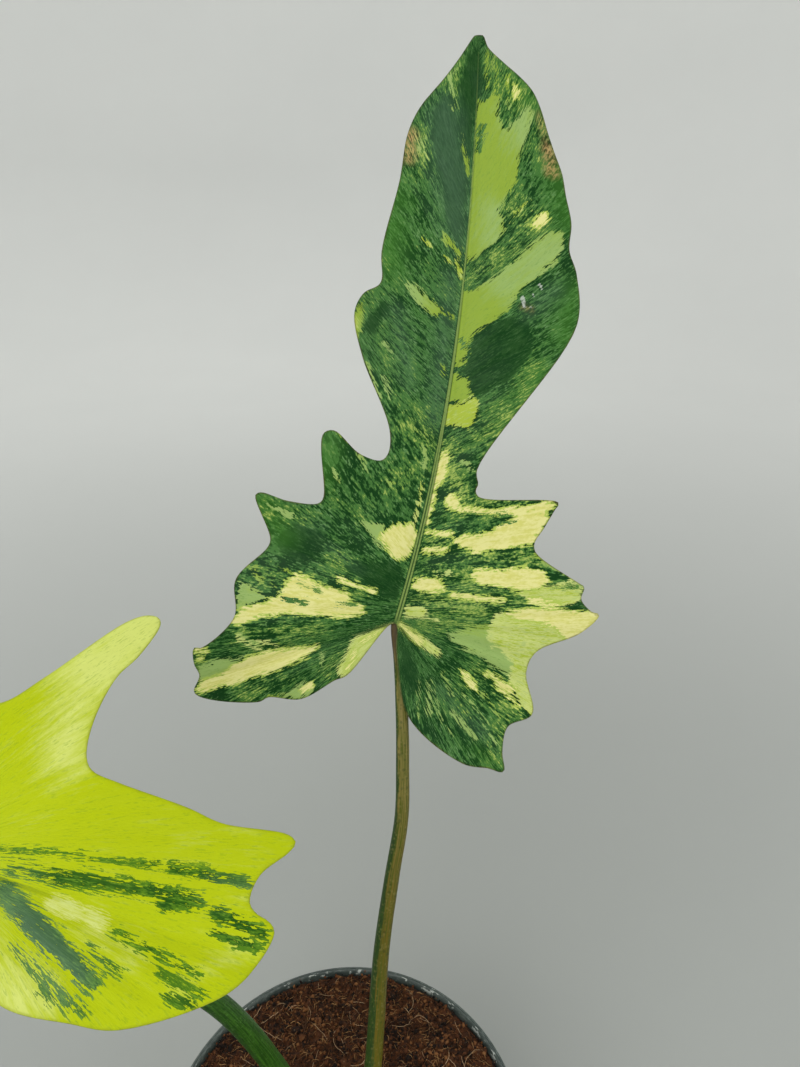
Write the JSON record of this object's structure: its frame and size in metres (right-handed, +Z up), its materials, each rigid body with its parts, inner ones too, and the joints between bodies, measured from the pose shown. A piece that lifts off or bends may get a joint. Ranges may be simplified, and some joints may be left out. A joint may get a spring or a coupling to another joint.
{
  "type": "potted florida beauty philodendron",
  "caption": "Young lobed, variegated climbing aroid with long petioles, rooted in coir in a round plastic nursery pot that stands on a flat base.",
  "frame": {"origin": "middle of the flat face that the pot stands on, on the pot's own axis", "axes": "+Z up along the pot's axis; +Y away from the viewer of the picture; +X to that viewer's right"},
  "size_m": [0.2549, 0.2672, 0.4315],
  "materials": {
    "pot": "satin",
    "coir": "crumbly, fibrous",
    "stem": "waxy, satin",
    "petiole_main": "waxy, satin, two-toned",
    "petiole_second": "waxy, satin, mottled",
    "blade_main": "waxy, satin, variegated",
    "blade_second": "waxy, glossy, variegated"
  },
  "bodies": {
    "root": {"pot": "pot", "soil": "coir", "stem": "stem", "petiole_main": "petiole_main", "petiole_second": "petiole_second", "blade_main": "blade_main", "blade_second": "blade_second"}
  },
  "joints": []
}
